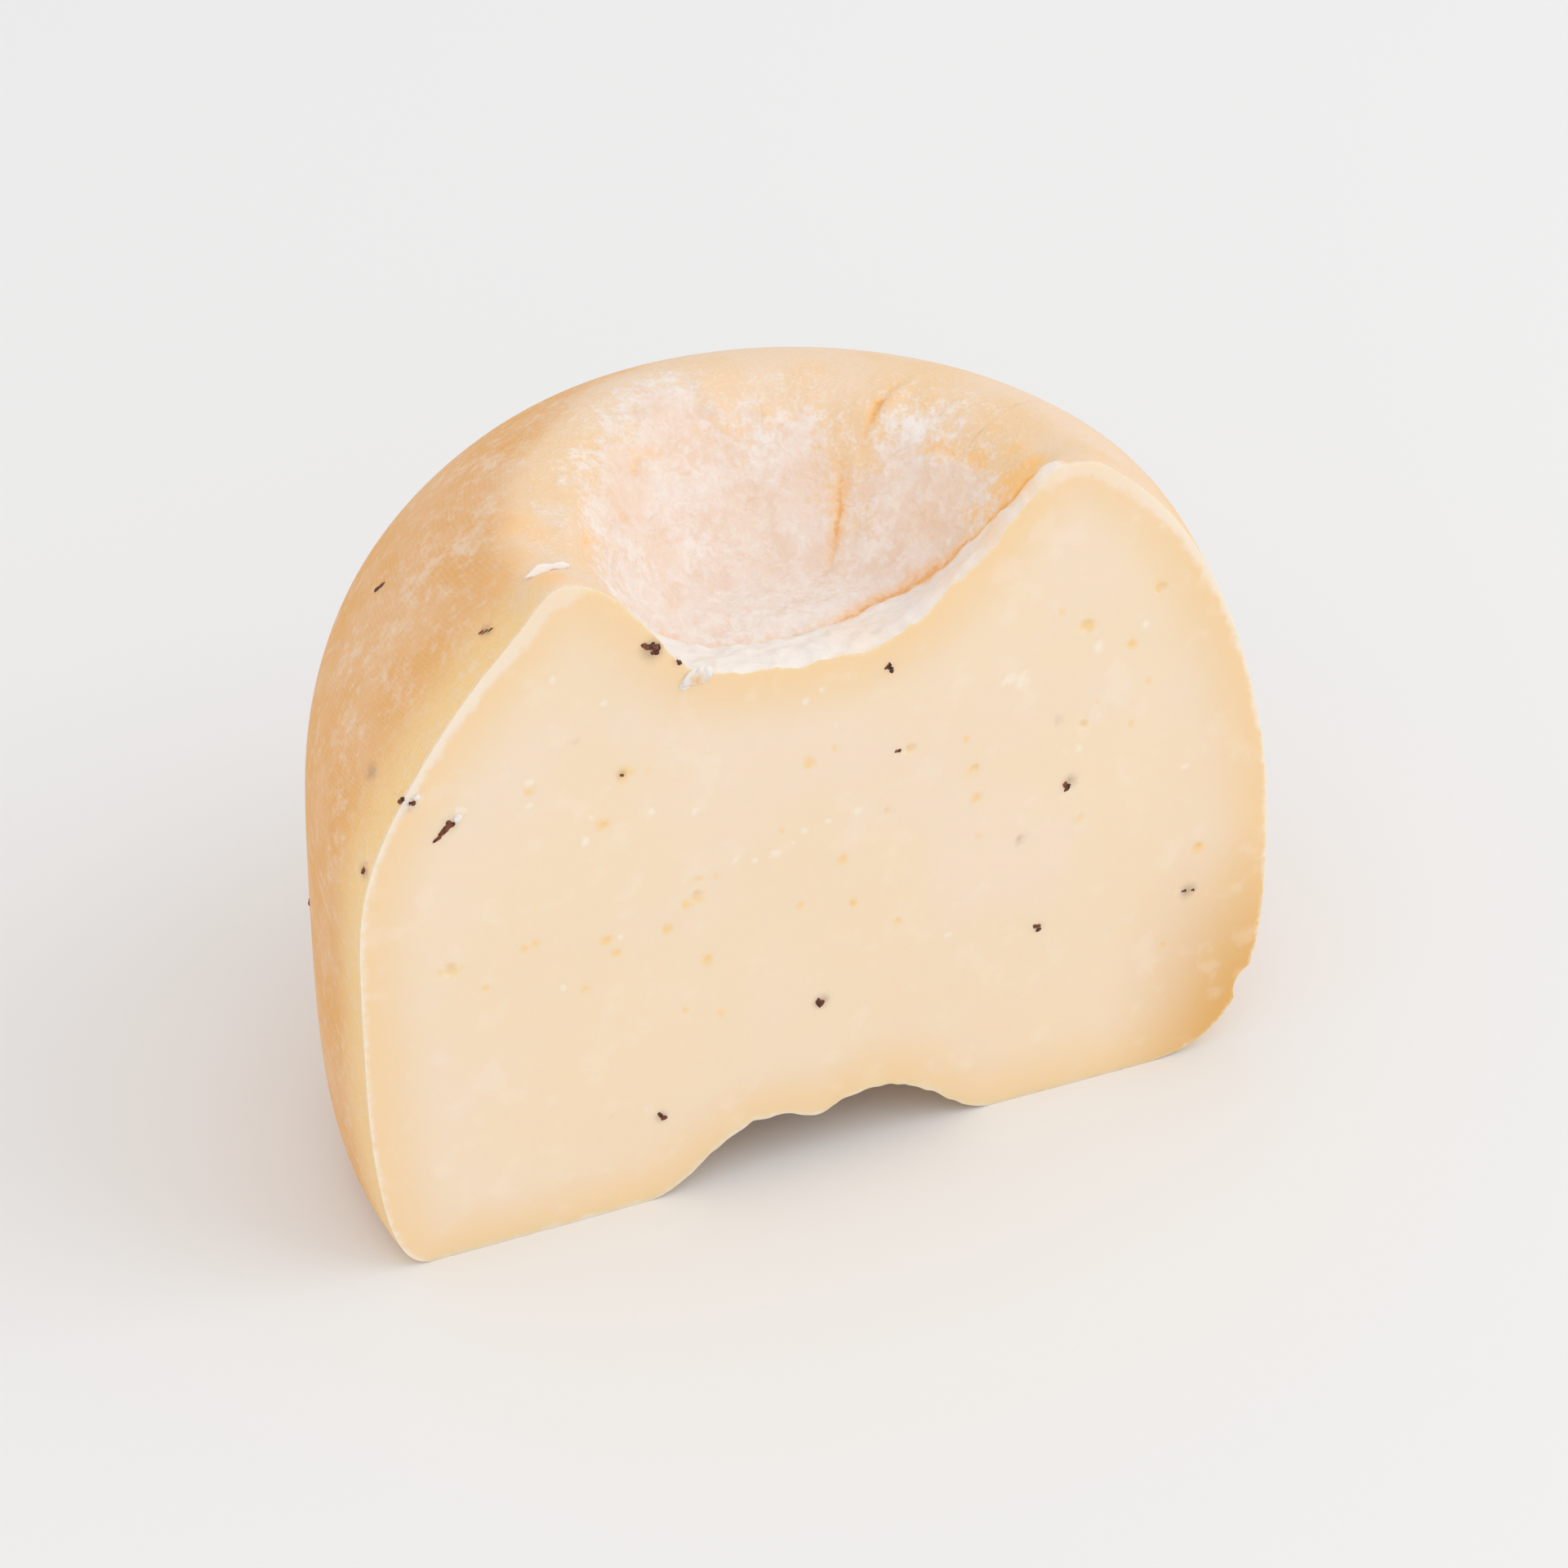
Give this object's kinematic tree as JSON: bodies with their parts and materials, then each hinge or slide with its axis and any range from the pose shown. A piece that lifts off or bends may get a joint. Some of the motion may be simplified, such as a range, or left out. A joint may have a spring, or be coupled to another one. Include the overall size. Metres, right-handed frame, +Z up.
{
  "type": "half sheep truffle cheese",
  "caption": "Half of a small round sheep's cheese with truffle, cut upright, with a sunken top, a flat cut face and a thin rind.",
  "frame": {"origin": "middle of the bottom of the box round the half wheel, on the surface that it stands on", "axes": "+Z up along the wheel's axis, -Y out of the cut face, +X to the right along the cut face when it is seen from the front"},
  "size_m": [0.1078, 0.0622, 0.0817],
  "materials": {
    "paste": "smooth, waxy cream paste with a satin sheen",
    "rind": "dry, matt tan rind with the fine print of a draining cloth and a powdery pale bloom",
    "truffle": "matt, dark brown truffle flakes"
  },
  "bodies": {
    "root": {"cheese_half": "paste"}
  },
  "joints": []
}
